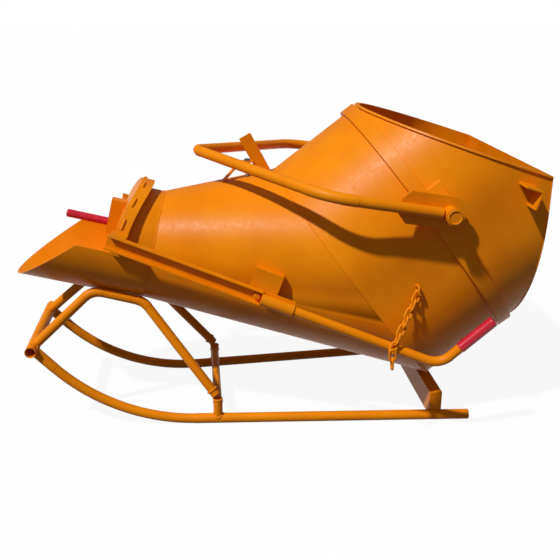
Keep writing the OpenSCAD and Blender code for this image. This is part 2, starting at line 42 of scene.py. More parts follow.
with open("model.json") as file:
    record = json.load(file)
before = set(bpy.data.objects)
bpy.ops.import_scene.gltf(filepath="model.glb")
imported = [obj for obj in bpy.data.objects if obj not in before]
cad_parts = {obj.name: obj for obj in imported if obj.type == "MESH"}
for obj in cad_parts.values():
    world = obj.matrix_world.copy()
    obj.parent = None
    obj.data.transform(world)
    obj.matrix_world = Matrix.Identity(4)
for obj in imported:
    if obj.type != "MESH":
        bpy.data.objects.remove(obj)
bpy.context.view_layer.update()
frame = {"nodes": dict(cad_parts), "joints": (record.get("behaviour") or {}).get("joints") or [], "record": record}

MM = 0.001
UP = Vector((0, 0, 1))
ACROSS = Vector((0, 1, 0))
SIDES = (-1, 1)


def joint_place(name):
    """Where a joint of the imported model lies."""
    return Vector(next(j["pos_m"] for j in frame["joints"] if j["name"] == name))


# The bucket's own layout, in metres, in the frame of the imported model
GATE_PIVOT = joint_place("gate_swing")
BAIL_PIVOT = joint_place("bail_swing")
DATUM = 0.230 - GATE_PIVOT.x


def place(x, y, z):
    """A point given from the gate pivots' own lengthwise datum."""
    return Vector((x - DATUM, y, z))


def slant(angle):
    """The direction that rises towards the hopper at an angle, and the one square to it."""
    a = math.radians(angle)
    return Vector((math.cos(a), 0, math.sin(a))), Vector((-math.sin(a), 0, math.cos(a)))


# Hopper drum: an oblong section on a slanted axis, with an upright back and a sloping mouth
DRUM_R, DRUM_FLAT, PLATE_T = 0.530, 0.110, 0.006
SEAM = place(0.741, 0, 0.652)
DRUM_AXIS, DRUM_UP = slant(37)
BACK_X = 1.490 - DATUM
MOUTH_BACK, MOUTH_NORMAL = slant(-18)
MOUTH = SEAM + 0.505 * DRUM_AXIS + (DRUM_R + DRUM_FLAT) * DRUM_UP
RIM_CLEAR = 2 * MM
RING_FROM, RING_TO = 0.420, 0.485
DOUBLER_TALL, DOUBLER_DEEP = 0.215, 0.066
LUG_TOP, LUG_LENGTH, LUG_DROP = place(1.384, 0, 1.196), 0.080, 0.084
EYE, EYE_HALF, EYE_R = place(0.930, 0, 0.742), 0.012, 0.006
PIN_R, PIN_TIP, PIN_WELD_IN = 0.0325, 0.67115, 0.004
# Neck, chute and the bail rest's tab on the cone
NECK_R, CHUTE_R, CHUTE_WELD = 0.260, 0.266, 0.150
NECK = place(-0.235, 0, 0.823)
NECK_BACK, NECK_UP = slant(-14.5)
NECK_AXIS = -NECK_BACK
TAB_Z, TAB_HALF = 1.215, 0.004
# Bail: the plates that carry its tube on the trunnions
BAIL_PLATE_IN, BAIL_PLATE_T = 0.58885, 0.012
BAIL_BACK, BAIL_OVER = slant(-9.5)
BAIL_OUT = -BAIL_BACK
BAIL_WELD_SPAN, BAIL_WELD_OFF, BAIL_WELD_PROUD = (0.046, 0.208), 0.013, 0.003
# Sled: splayed runners that curve up to a front tube, and frame tubes from it to the posts
TUBE_R, FRONT_TUBE_R, FRAME_R = 0.02415, 0.0265, 0.0225
BEND_X, BEND_HALF = -0.060, 0.302
REAR_X, REAR_HALF = 1.262, 0.397
RUNNER_SPLAY = math.atan((REAR_HALF - BEND_HALF) / (REAR_X - BEND_X))
NOSE_TURN, NOSE_R, NOSE_END = math.radians(47), 0.900, 0.130
NOSE_RUN = NOSE_R * math.sin(NOSE_TURN) + NOSE_END * math.cos(NOSE_TURN)
NOSE_RISE = NOSE_R * (1 - math.cos(NOSE_TURN)) + NOSE_END * math.sin(NOSE_TURN)
FRONT = place(BEND_X - NOSE_RUN * math.cos(RUNNER_SPLAY), 0, TUBE_R + NOSE_RISE)
FRONT_HALF = BEND_HALF - NOSE_RUN * math.sin(RUNNER_SPLAY)
POST_R, POST_BAR_R, POST_X, POST_TOP = 0.022, 0.020, 0.048, 0.128
FRAME_HALF, FRAME_SEAT, FOOT_WELD_UP = 0.168, 0.9, 0.030
FRAME_FRONT, FRAME_REAR, FRAME_FOOT = (-0.520, 0.656), (-0.285, 0.590), (0.040, 0.150)
WELD_REACH = 0.1
# Gate: a skin curved about the pivots, with a hood, a handle and its bracket
GATE_R, GATE_T, HOOD_R = 0.650, 0.008, 0.300
HOOD_WELDS, HOOD_WELD_HALF = (-78, -62, -40, -14, 14, 40, 62, 78), 0.026
BRACKET_SIDES, BRACKET_LOW, BRACKET_TALL = (0.005, 0.063), 0.010, 0.125
HANDLE_R, HANDLE_GRIP = 0.016, 0.190
HANDLE_AHEAD, HANDLE_UP, HANDLE_ACROSS = 0.052, 0.042, 0.034
# Arm and lever: one line that slopes back and spreads outwards from the gate pivots
ARM_SLOPE, ARM_SPREAD = math.radians(20.5), math.radians(8.9)
PIVOT_HALF = 0.455
ARM_ALONG = Vector((
    math.cos(ARM_SPREAD) * math.cos(ARM_SLOPE),
    -math.sin(ARM_SPREAD) * math.cos(ARM_SLOPE),
    -math.sin(ARM_SLOPE)))
ARM_OUT = Vector((-math.sin(ARM_SPREAD), -math.cos(ARM_SPREAD), 0))
ARM_OVER = Vector((
    math.sin(ARM_SLOPE) * math.cos(ARM_SPREAD),
    -math.sin(ARM_SLOPE) * math.sin(ARM_SPREAD),
    math.cos(ARM_SLOPE)))
ARM_T, SLEEVE_T, LEVER_R = 0.005, 0.006, 0.0212
LEVER_OUT = ARM_T + LEVER_R + SLEEVE_T
LEVER_BEND, LEVER_TURN, LEVER_TO_GRIP, LEVER_GRIP = 0.870, math.radians(65), 0.120, 0.183
# Bolts: the gate pivots' hexagon bolts and the bail rest's stud with two nuts
SHANK_R, WASHER_R, WASHER_T = 0.0098, 0.0168, 0.0025
HEAD_R, HEAD_TOP_R, HEAD_T, HEAD_CHAMFER = 0.0150, 0.0130, 0.0105, 0.0015
STUD_R, THREAD_DEEP, THREAD_STEP = 0.0088, 0.0011, 0.0015
NUT_R, NUT_TOP_R, NUT_BORE_R, NUT_T, NUT_CHAMFER = 0.0142, 0.0128, 0.0086, 0.008, 0.001
TIP_R = 0.0005
# Beads: rows of corners in each ripple, and how far a ripple swells and wanders
RIPPLE_ROWS, RIPPLE_SWELL, RIPPLE_DRIFT, RIPPLE_DRIFT_RATE, BEAD_END = 3, 0.16, 0.6, 1.7, 0.55
# A direction with a larger share than this along an axis counts as lying along it
STEEP = 0.8
# Studio
SUN_STRENGTH, SUN_SPREAD, SUN_WAY = 3.1, math.radians(2.5), Vector((0.48, 0.36, -0.80))
SKY_LIGHT, SKY_SEEN = 0.20, 1.0
FLOOR_REACH, FLOOR_GLOW = 60.0, 0.92
SENSOR_WIDTH, FOCAL_LENGTH = 36.0, 49.8
LENS_PLACE = place(0, -3.63, 1.94)
LENS_TURN = (math.radians(70), 0, math.radians(-6))


# Settings

class BucketSizes(bpy.types.PropertyGroup):
    """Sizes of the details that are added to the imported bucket"""
    seam_bead: bpy.props.FloatProperty(
        name="Seam bead", description="Radius of the weld beads along the sheet seams",
        default=3.2 * MM, subtype="DISTANCE", unit="LENGTH")
    joint_bead: bpy.props.FloatProperty(
        name="Joint bead", description="Radius of the weld beads round the tube joints",
        default=5.0 * MM, subtype="DISTANCE", unit="LENGTH")
    ripple: bpy.props.FloatProperty(
        name="Ripple pitch", description="Distance between two ripples of a weld bead",
        default=9 * MM, subtype="DISTANCE", unit="LENGTH")
    grip_wall: bpy.props.FloatProperty(
        name="Grip wall", description="Thickness of the red sleeves on the handles",
        default=3 * MM, subtype="DISTANCE", unit="LENGTH")


class BucketColours(bpy.types.PropertyGroup):
    """Colours of the bucket's finishes, as sRGB hex values"""
    enamel: bpy.props.StringProperty(
        name="Enamel", description="Orange of the sprayed enamel", default="F08C06")
    enamel_deep: bpy.props.StringProperty(
        name="Deep enamel", description="Orange where the enamel lies thick", default="E68002")
    grime: bpy.props.StringProperty(
        name="Grime", description="Brown of the specks of dirt on the enamel", default="B86406")
    scraped: bpy.props.StringProperty(
        name="Scraped steel", description="Grey of steel under worn paint", default="6B655E")
    grip: bpy.props.StringProperty(
        name="Grip", description="Red of the dipped handle sleeves", default="C8142E")
    # Paler pink painted on random patches of the sleeves as a painted sheen
    grip_sheen: bpy.props.StringProperty(
        name="Grip sheen", description="Paler pink painted on random patches of a sleeve as sheen", default="D83550")
    steel: bpy.props.StringProperty(
        name="Bolt steel", description="Grey of the bare bolt", default="8A8B8C")
    stain: bpy.props.StringProperty(
        name="Steel stain", description="Dull stains on the bare bolt", default="5E5B57")
    floor: bpy.props.StringProperty(
        name="Floor", description="Pale studio floor", default="F2F2F0")
    floor_light: bpy.props.StringProperty(
        name="Light floor", description="Lightest patches of the studio floor", default="FFFFFF")
    floor_bounce: bpy.props.StringProperty(
        name="Floor bounce", description="Grey that the floor throws back up", default="4C4C4A")


# Finishes

def linear(code):
    """A linear RGBA colour from an sRGB hex value."""
    parts = [int(code[i:i + 2], 16) / 255 for i in (0, 2, 4)]
    return (*[c / 12.92 if c <= 0.04045 else ((c + 0.055) / 1.055) ** 2.4 for c in parts], 1)


def add(tree, kind, settings=None, links=None):
    """Adds a node; settings are its attributes or input values, links its inputs' sources."""
    made = tree.nodes.new("ShaderNode" + kind)
    for key, value in (settings or {}).items():
        if isinstance(key, str) and hasattr(made, key):
            setattr(made, key, value)
        else:
            made.inputs[key].default_value = value
    for key, source in (links or {}).items():
        tree.links.new(source, made.inputs[key])
    return made


def new_finish(name):
    """An empty node material with its output; returns the material, its tree and the output."""
    made = bpy.data.materials.new(name)
    made.use_nodes = True
    made.node_tree.nodes.clear()
    return made, made.node_tree, add(made.node_tree, "OutputMaterial")


def per_metre(size_mm):
    """Texture scale whose features are about so many millimetres across."""
    return 1 / (size_mm * MM)


def noise(tree, at, size_mm, detail, **settings):
    """A noise texture whose features are about so many millimetres across."""
    return add(tree, "TexNoise", {"Scale": per_metre(size_mm), "Detail": detail, **settings},
               {"Vector": at}).outputs["Fac"]


def ramp(tree, value, low, high, to_low=0.0, to_high=1.0):
    """A value stretched from one range to another."""
    return add(tree, "MapRange",
               {"From Min": low, "From Max": high, "To Min": to_low, "To Max": to_high},
               {"Value": value}).outputs["Result"]


def blend(tree, share, first, second):
    """A mix of two colours, each a hex value or a node's output."""
    settings, links = {"data_type": "RGBA"}, {0: share}
    for key, colour in ((6, first), (7, second)):
        if isinstance(colour, str):
            settings[key] = linear(colour)
        else:
            links[key] = colour
    return add(tree, "Mix", settings, links).outputs[2]


def gloss_enamel(name, colours, scuffed=False):
    """Sprayed alkyd enamel on rolled plate: a soft gloss, orange peel, slow waves in the sheet."""
    made, tree, out = new_finish(name)
    at = add(tree, "TexCoord").outputs["Object"]
    cloud = noise(tree, at, 260, 3.0, Roughness=0.55)
    speck = noise(tree, at, 22, 5.0, Roughness=0.6)
    # Real orange peel is about 2 mm across; 9 mm is the finest that shows here
    peel = noise(tree, at, 9, 2.0)
    wave = noise(tree, at, 420, 1.0)
    coat = blend(tree, ramp(tree, cloud, 0.35, 0.65), colours.enamel, colours.enamel_deep)
    colour = blend(tree, ramp(tree, speck, 0.62, 0.78, to_high=0.12), coat, colours.grime)
    rough = ramp(tree, speck, 0.3, 0.7, 0.34, 0.46)
    edge = add(tree, "Bevel", {"samples": 4, "Radius": 2.2 * MM})
    waved = add(tree, "Bump", {"Strength": 0.10, "Distance": 14 * MM},
                {"Height": wave, "Normal": edge.outputs["Normal"]})
    bumped = add(tree, "Bump", {"Strength": 0.02, "Distance": 1.5 * MM},
                 {"Height": peel, "Normal": waved.outputs["Normal"]})
    if scuffed:
        # The underside of a runner is dragged over ground and shows scraped steel
        low = add(tree, "SeparateXYZ", {}, {"Vector": at})
        worn = ramp(tree, low.outputs["Z"], 7 * MM, 2 * MM)
        scrape = add(tree, "Mapping", {"Scale": (0.15, 1.0, 1.0)}, {"Vector": at})
        bare = ramp(tree, noise(tree, scrape.outputs["Vector"], 14, 4.0), 0.42, 0.55)
        mask = add(tree, "Math", {"operation": "MULTIPLY"}, {0: worn, 1: bare})
        colour = blend(tree, mask.outputs["Value"], colour, colours.scraped)
    shader = add(tree, "BsdfPrincipled", {"IOR": 1.5, "Specular IOR Level": 0.13}, {
        "Base Color": colour, "Roughness": rough, "Normal": bumped.outputs["Normal"]})
    tree.links.new(shader.outputs["BSDF"], out.inputs["Surface"])
    return made


def dipped_vinyl(name, colours):
    """PVC dipped over the tube's end: a soft gloss, faint grain, and random patches that are rougher and painted a
    paler pink as sheen.
    """
    made, tree, out = new_finish(name)
    at = add(tree, "TexCoord").outputs["Object"]
    # One noise makes random patches: the vinyl is rougher there and painted a paler pink as a painted sheen
    rub_and_sheen = noise(tree, at, 30, 4.0)
    grain = noise(tree, at, 5, 2.0)
    worn = ramp(tree, rub_and_sheen, 0.55, 0.75, to_high=0.5)
    colour = blend(tree, worn, colours.grip, colours.grip_sheen)
    rough = ramp(tree, rub_and_sheen, 0.0, 1.0, 0.26, 0.44)
    bump = add(tree, "Bump", {"Strength": 0.08, "Distance": 0.6 * MM}, {"Height": grain})
    shader = add(tree, "BsdfPrincipled", {"IOR": 1.52}, {
        "Base Color": colour, "Roughness": rough, "Normal": bump.outputs["Normal"]})
    tree.links.new(shader.outputs["BSDF"], out.inputs["Surface"])
    return made


def zinc_steel(name, colours):
    """Zinc-plated mild steel, dulled by weather: a grey metal with cloudy stains."""
    made, tree, out = new_finish(name)
    at = add(tree, "TexCoord").outputs["Object"]
    cloud = noise(tree, at, 12, 5.0)
    colour = blend(tree, cloud, colours.steel, colours.stain)
    rough = ramp(tree, cloud, 0.0, 1.0, 0.35, 0.6)
    shader = add(tree, "BsdfPrincipled", {"Metallic": 1.0}, {
        "Base Color": colour, "Roughness": rough})
    tree.links.new(shader.outputs["BSDF"], out.inputs["Surface"])
    return made


def seen_by(tree, *rays):
    """One where a ray of any of the named kinds arrives, and otherwise zero."""
    path = add(tree, "LightPath")
    seen = path.outputs[rays[0]]
    for ray in rays[1:]:
        seen = add(tree, "Math", {"operation": "MAXIMUM"},
                   {0: seen, 1: path.outputs[ray]}).outputs["Value"]
    return seen


def studio_floor(name, colours):
    """Matt painted floor: white to the lens, dark grey to the light that it throws back up."""
    made, tree, out = new_finish(name)
    at = add(tree, "TexCoord").outputs["Object"]
    seen = seen_by(tree, "Is Camera Ray", "Is Glossy Ray", "Is Transmission Ray")
    pale = blend(tree, noise(tree, at, 700, 3.0), colours.floor, colours.floor_light)
    colour = blend(tree, seen, colours.floor_bounce, pale)
    matt = add(tree, "BsdfDiffuse", {}, {"Color": colour})
    glow = add(tree, "Emission", {"Color": (1, 1, 1, 1)}, {"Strength": seen})
    mixed = add(tree, "MixShader", {"Fac": FLOOR_GLOW},
                {1: matt.outputs["BSDF"], 2: glow.outputs["Emission"]})
    plain = add(tree, "MixShader", {}, {
        "Fac": seen, 1: matt.outputs["BSDF"], 2: mixed.outputs["Shader"]})
    tree.links.new(plain.outputs["Shader"], out.inputs["Surface"])
    return made


FINISH = {}
SLOT_FINISH = {"orange_paint": "enamel", "red_grip": "vinyl", "bolt_steel": "zinc"}
DRAGGED = ("runner_near", "runner_far")


# Mesh tools

def piece(name, verts, faces, body, slot, sharp):
    """A new mesh object in place on a body, smooth but for edges over the sharp angle."""
    mesh = bpy.data.meshes.new(name)
    mesh.from_pydata([tuple(v) for v in verts], [], faces)
    mesh.validate()
    work = bmesh.new()
    work.from_mesh(mesh)
    bmesh.ops.recalc_face_normals(work, faces=work.faces)
    work.to_mesh(mesh)
    work.free()
    mesh.polygons.foreach_set("use_smooth", [True] * len(mesh.polygons))
    mesh.set_sharp_from_angle(angle=math.radians(sharp))
    mesh.materials.append(FINISH[SLOT_FINISH[slot]])
    made = bpy.data.objects.new(name, mesh)
    bpy.context.scene.collection.objects.link(made)
    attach(made, body)
    return made


def bead_piece(name, beads, body):
    """One painted piece from several weld beads."""
    return piece(name, *merged(beads), body, "orange_paint", sharp=80)


def merged(parts):
    """One list of corners and one of faces from several of each."""
    verts, faces = [], []
    for more_verts, more_faces in parts:
        shift = len(verts)
        verts += more_verts
        faces += [[i + shift for i in f] for f in more_faces]
    return verts, faces


def square_to(way):
    """Two directions that are square to a direction and to each other."""
    side = way.cross(UP if abs(way.z) < STEEP else ACROSS).normalized()
    return side, way.cross(side)


def circle(centre, side, over, radius, count):
    """Points of a circle that lies in two directions."""
    turns = [2 * math.pi * k / count for k in range(count)]
    return [centre + radius * (math.cos(a) * side + math.sin(a) * over) for a in turns]


def tube_faces(rows, sides, closed):
    """Faces between rows of corners, with the two ends shut unless the rows close on themselves."""
    faces = []
    for i in range(rows if closed else rows - 1):
        j = (i + 1) % rows
        for k in range(sides):
            m = (k + 1) % sides
            faces.append([i * sides + k, i * sides + m, j * sides + m, j * sides + k])
    if not closed:
        faces.append(list(range(sides))[::-1])
        faces.append([(rows - 1) * sides + k for k in range(sides)])
    return faces


def spaced(points, step, closed):
    """Points at even steps along a line of points."""
    line = list(points) + ([points[0]] if closed else [])
    length = sum((b - a).length for a, b in zip(line, line[1:]))
    count = max(3, round(length / step))
    wanted = count if closed else count + 1
    out, target, gone = [], 0.0, 0.0
    for a, b in zip(line, line[1:]):
        leg = (b - a).length
        while leg > 0 and target <= gone + leg + 1e-9 and len(out) < wanted:
            out.append(a.lerp(b, min(1.0, (target - gone) / leg)))
            target += length / count
        gone += leg
    return out


def bead(points, radius, ripple, closed=True, sides=7):
    """A weld bead along points: a tube that swells and narrows once per ripple."""
    line = spaced(points, ripple / RIPPLE_ROWS, closed)
    n = len(line)
    verts = []
    for i, p in enumerate(line):
        ahead = line[(i + 1) % n] if closed or i < n - 1 else p
        behind = line[i - 1] if closed or i > 0 else p
        along = (ahead - behind).normalized()
        side = along.cross(ACROSS if abs(along.y) < STEEP else UP).normalized()
        drift = RIPPLE_DRIFT * math.sin(RIPPLE_DRIFT_RATE * i)
        swell = radius * (1 + RIPPLE_SWELL * math.sin(2 * math.pi * i / RIPPLE_ROWS + drift))
        if not closed and i in (0, n - 1):
            swell *= BEAD_END
        verts += circle(p, side, along.cross(side), swell, sides)
    return verts, tube_faces(n, sides, closed)


def lathe(base, axis, profile, sides=40):
    """A round solid: profile gives (distance along the axis, radius), from end to end."""
    axis = axis.normalized()
    side, over = square_to(axis)
    verts = []
    for along, radius in profile:
        verts += circle(base + along * axis, side, over, radius, sides)
    return verts, tube_faces(len(profile), sides, False)


# Lines on the bucket

def oblong(radius, count=240):
    """Points (up, across) round the drum's section: two half rounds and the flats between them."""
    arc, flat = math.pi * radius, 2 * DRUM_FLAT
    out = []
    for i in range(count):
        d = i / count * 2 * (arc + flat)
        half, d = divmod(d, arc + flat)
        turn = -1 if half else 1
        if d < arc:
            a = d / radius - math.pi / 2
            up, across = DRUM_FLAT + radius * math.cos(a), radius * math.sin(a)
        else:
            up, across = DRUM_FLAT - (d - arc), radius
        out.append((turn * up, turn * across))
    return out


def on_drum(along, up, across):
    """A point given along, up and across the drum from its seam with the cone."""
    return SEAM + along * DRUM_AXIS + up * DRUM_UP + across * ACROSS


def drum_side(up):
    """Half the drum's width at a height up across it."""
    return math.sqrt(DRUM_R ** 2 - max(0.0, abs(up) - DRUM_FLAT) ** 2)


def drum_loop(along, radius):
    """Points round the drum at a distance along it."""
    return [on_drum(along, up, across) for up, across in oblong(radius)]


def neck_loop(radius, count):
    """Points round the neck's end, from its top by the far side."""
    return circle(NECK, NECK_UP, ACROSS, radius, count)


def back_edge():
    """The line where the drum meets the back plate, below the mouth."""
    line = []
    for up, across in oblong(DRUM_R, 480):
        along = (BACK_X - SEAM.x - up * DRUM_UP.x) / DRUM_AXIS.x
        p = on_drum(along, up, across)
        line.append((p, (p - MOUTH).dot(MOUTH_NORMAL) < -RIM_CLEAR))
    start = next(i for i in range(len(line)) if line[i][1] and not line[i - 1][1])
    turned = line[start:] + line[:start]
    return [p for p, low in turned if low]


def saddle(start, way, radius, on_axis, axis, big_radius, count=48):
    """The line where a tube that runs along way meets a round bar."""
    way, axis = way.normalized(), axis.normalized()
    line = []
    for p in circle(start, *square_to(way), radius, count):
        rel = p - on_axis
        rel -= rel.dot(axis) * axis
        flat_way = way - way.dot(axis) * axis
        b, c = rel.dot(flat_way), rel.length_squared - big_radius ** 2
        square = flat_way.length_squared
        root = math.sqrt(max(0.0, b * b - square * c))
        line.append(p + (-b - root) / square * way)
    return line


def runner_y(x):
    """Half the distance between the runners at a lengthwise place."""
    return BEND_HALF + (x - BEND_X) * math.tan(RUNNER_SPLAY)


def on_gate(radius, up, across):
    """A point on the gate's curve about its pivots, given as it is seen along the neck."""
    rel = NECK + up * NECK_UP - GATE_PIVOT
    b, c = rel.dot(NECK_AXIS), rel.length_squared - radius ** 2
    return NECK + up * NECK_UP + (math.sqrt(b * b - c) - b) * NECK_AXIS + across * ACROSS


def straight(a, b, count=12):
    """Points from one point to another."""
    return [a.lerp(b, i / count) for i in range(count + 1)]


def lug_roots():
    """The two lines where the near stop lug's plates meet the drum."""
    front = LUG_TOP - LUG_LENGTH / 2 * MOUTH_BACK
    corner = LUG_TOP + LUG_LENGTH / 2 * MOUTH_BACK
    lines = []
    for a, b in ((front, corner), (corner, corner - LUG_DROP * MOUTH_NORMAL)):
        lines.append([p - drum_side((p - SEAM).dot(DRUM_UP)) * ACROSS for p in straight(a, b)])
    return lines


def ring(centre, axis, radius, count=48):
    """Points of a circle round an axis."""
    return circle(centre, *square_to(axis.normalized()), radius, count)


def flip(points):
    """The same points on the other side of the bucket."""
    return [Vector((p.x, -p.y, p.z)) for p in points]


class BucketPiece(bpy.types.Operator):
    """Shared parts of the bucket's operators"""
    bl_options = {"REGISTER", "UNDO"}

    @property
    def sizes(self):
        return bpy.context.scene.bucket_sizes

    @property
    def colours(self):
        return bpy.context.scene.bucket_colours


class BUCKET_OT_finishes(BucketPiece):
    """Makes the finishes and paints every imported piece"""
    bl_idname = "bucket.finishes"
    bl_label = "Finishes"

    def execute(self, context):
        colours = self.colours
        FINISH["enamel"] = gloss_enamel("Sprayed orange enamel", colours)
        FINISH["dragged"] = gloss_enamel("Sprayed orange enamel, scraped below", colours, True)
        FINISH["vinyl"] = dipped_vinyl("Dipped red vinyl", colours)
        FINISH["zinc"] = zinc_steel("Weathered zinc-plated steel", colours)
        slots = {s["node"]: s["material_slot"] for s in frame["record"]["subparts"]}
        for name, obj in frame["nodes"].items():
            finish = "dragged" if name in DRAGGED else SLOT_FINISH[slots[name]]
            obj.data.materials.clear()
            obj.data.materials.append(FINISH[finish])
        return {"FINISHED"}


class BUCKET_OT_cone(BucketPiece):
    """Rolls the lower cone as one smooth sheet between the neck and the drum"""
    bl_idname = "bucket.cone"
    bl_label = "Lower cone"

    def execute(self, context):
        work = bmesh.new()
        rims = [[], []]
        for shrink in (0.0, PLATE_T):
            ends = [[work.verts.new(p) for p in neck_loop(NECK_R - shrink, 240)],
                    [work.verts.new(p) for p in drum_loop(0, DRUM_R - shrink)]]
            made = bmesh.ops.convex_hull(work, input=ends[0] + ends[1])
            hull = [g for g in made["geom"] if isinstance(g, bmesh.types.BMFace)]
            for rim, end in zip(rims, ends):
                rim.append(end)
                lids = [f for f in hull if f.is_valid and set(f.verts) <= set(end)]
                bmesh.ops.delete(work, geom=lids, context="FACES_ONLY")
        for outer, inner in rims:
            for i in range(len(outer)):
                work.faces.new((outer[i - 1], outer[i], inner[i], inner[i - 1]))
        verts = [v.co.copy() for v in work.verts]
        work.verts.index_update()
        faces = [[v.index for v in f.verts] for f in work.faces]
        work.free()
        cone = piece("cone_sheet", verts, faces, "bucket", "orange_paint", sharp=30)
        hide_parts("cone_shell")
        return {"FINISHED"}


class BUCKET_OT_seams(BucketPiece):
    """Lays the weld beads along the sheet seams of the body"""
    bl_idname = "bucket.seams"
    bl_label = "Sheet seams"

    def execute(self, context):
        r, pitch = self.sizes.seam_bead, self.sizes.ripple
        beads = [
            bead(drum_loop(0, DRUM_R), r, pitch),
            bead(neck_loop(NECK_R, 180), r, pitch),
            bead(back_edge(), r, pitch, closed=False),
        ]
        for along in (RING_FROM, RING_TO):
            beads.append(bead(drum_loop(along, DRUM_R + r / 2), 0.8 * r, pitch))
        for side in SIDES:
            start = NECK + side * CHUTE_R * ACROSS
            edge = straight(start, start + CHUTE_WELD * NECK_AXIS, 20)
            beads.append(bead(edge, r, pitch, closed=False))
        bead_piece("seam_beads", beads, "bucket")
        return {"FINISHED"}


class BUCKET_OT_sled_welds(BucketPiece):
    """Welds the joints of the sled's tubes"""
    bl_idname = "bucket.sled_welds"
    bl_label = "Sled welds"

    def execute(self, context):
        r, pitch = self.sizes.joint_bead, self.sizes.ripple
        nose = Vector((
            -math.cos(RUNNER_SPLAY) * math.cos(NOSE_TURN),
            math.sin(RUNNER_SPLAY) * math.cos(NOSE_TURN),
            math.sin(NOSE_TURN)))
        runner_way = Vector((math.cos(RUNNER_SPLAY), -math.sin(RUNNER_SPLAY), 0))
        end = FRONT - FRONT_HALF * ACROSS
        seat = FRONT - FRAME_SEAT * FRONT_HALF * ACROSS
        knee = place(FRAME_FRONT[0], -FRAME_HALF, FRAME_FRONT[1])
        hip = place(FRAME_REAR[0], -FRAME_HALF, FRAME_REAR[1])
        foot = place(FRAME_FOOT[0], -runner_y(FRAME_FOOT[0]), FRAME_FOOT[1])
        down = (foot - hip).normalized()
        post = place(POST_X, -runner_y(POST_X), 0)
        middle = place(POST_X, 0, POST_TOP - POST_BAR_R)
        rear = place(REAR_X, -runner_y(REAR_X), TUBE_R)
        near = [
            saddle(end - WELD_REACH * nose, nose, TUBE_R, FRONT, ACROSS, FRONT_TUBE_R),
            saddle(knee, seat - knee, FRAME_R, FRONT, ACROSS, FRONT_TUBE_R),
            saddle(post + WELD_REACH * UP, -UP, POST_R, post + TUBE_R * UP, runner_way, TUBE_R),
            ring(post + POST_TOP * UP, UP, POST_R - r / 2),
            saddle(middle, -ACROSS, POST_BAR_R, post, UP, POST_R),
            ring(rear, runner_way, TUBE_R - r),
            ring(foot - FOOT_WELD_UP * down, down, FRAME_R),
        ]
        beads = [bead(line, r, pitch) for line in near]
        beads += [bead(flip(line), r, pitch) for line in near]
        bead_piece("sled_beads", beads, "bucket")
        return {"FINISHED"}


class BUCKET_OT_body_welds(BucketPiece):
    """Welds the plates and lugs to the body"""
    bl_idname = "bucket.body_welds"
    bl_label = "Body welds"

    def execute(self, context):
        r, pitch = self.sizes.seam_bead, self.sizes.ripple
        pin_up, steps = (BAIL_PIVOT - SEAM).dot(DRUM_UP), 16
        high, low = pin_up + DOUBLER_TALL / 2, pin_up - DOUBLER_TALL / 2
        edge = RING_TO + DOUBLER_DEEP
        outline = [(RING_TO, high), (edge, high), (edge, low), (RING_TO, low)]
        doubler = []
        for (a0, u0), (a1, u1) in zip(outline, outline[1:]):
            for i in range(steps):
                a, u = a0 + (a1 - a0) * i / steps, u0 + (u1 - u0) * i / steps
                doubler.append(on_drum(a, u, -drum_side(u)))
        beads = [bead(doubler, r, pitch, False)]
        eye = EYE - SEAM
        for off in SIDES:
            spot = on_drum(eye.dot(DRUM_AXIS), eye.dot(DRUM_UP), -DRUM_R) + off * EYE_HALF * UP
            beads.append(bead(ring(spot, ACROSS, EYE_R, 16), r, pitch))
        beads.append(bead(flip(doubler), r, pitch, False))
        for line in lug_roots():
            for root in (line, flip(line)):
                beads.append(bead(root, 1.3 * r, pitch, False))
        for s in SIDES:
            tip = BAIL_PIVOT + s * PIN_TIP * ACROSS
            beads.append(bead(ring(tip, ACROSS, PIN_R - PIN_WELD_IN), 1.3 * r, pitch))
        bead_piece("body_beads", beads, "bucket")
        return {"FINISHED"}


class BUCKET_OT_gate_welds(BucketPiece):
    """Stitch-welds the gate's hood and its handle bracket"""
    bl_idname = "bucket.gate_welds"
    bl_label = "Gate welds"

    def execute(self, context):
        r, pitch = self.sizes.joint_bead, self.sizes.ripple
        half, radius = math.degrees(HOOD_WELD_HALF / HOOD_R), HOOD_R + r / 4
        beads = []
        for middle in HOOD_WELDS:
            line = []
            for i in range(9):
                a = math.radians(middle - half + 2 * half * i / 8)
                line.append(on_gate(GATE_R - 1.6 * r, radius * math.cos(a), radius * math.sin(a)))
            beads.append(bead(line, 1.25 * r, pitch, False, sides=9))
        for across in BRACKET_SIDES:
            line = [on_gate(GATE_R + GATE_T, BRACKET_LOW + BRACKET_TALL * i / 10, across)
                    for i in range(11)]
            beads.append(bead(line, 0.8 * r, pitch, False))
        bead_piece("gate_beads", beads, "gate")
        return {"FINISHED"}


class BUCKET_OT_bail_welds(BucketPiece):
    """Welds the bail's tube along its end plates"""
    bl_idname = "bucket.bail_welds"
    bl_label = "Bail welds"

    def execute(self, context):
        r, pitch = self.sizes.joint_bead, self.sizes.ripple
        face = BAIL_PLATE_IN + BAIL_PLATE_T + BAIL_WELD_PROUD
        beads = []
        for s in SIDES:
            for over in SIDES:
                root = BAIL_PIVOT + over * BAIL_WELD_OFF * BAIL_OVER + s * face * ACROSS
                ends = [root + along * BAIL_OUT for along in BAIL_WELD_SPAN]
                beads.append(bead(straight(*ends), r, pitch, False))
        bead_piece("bail_beads", beads, "bail")
        return {"FINISHED"}


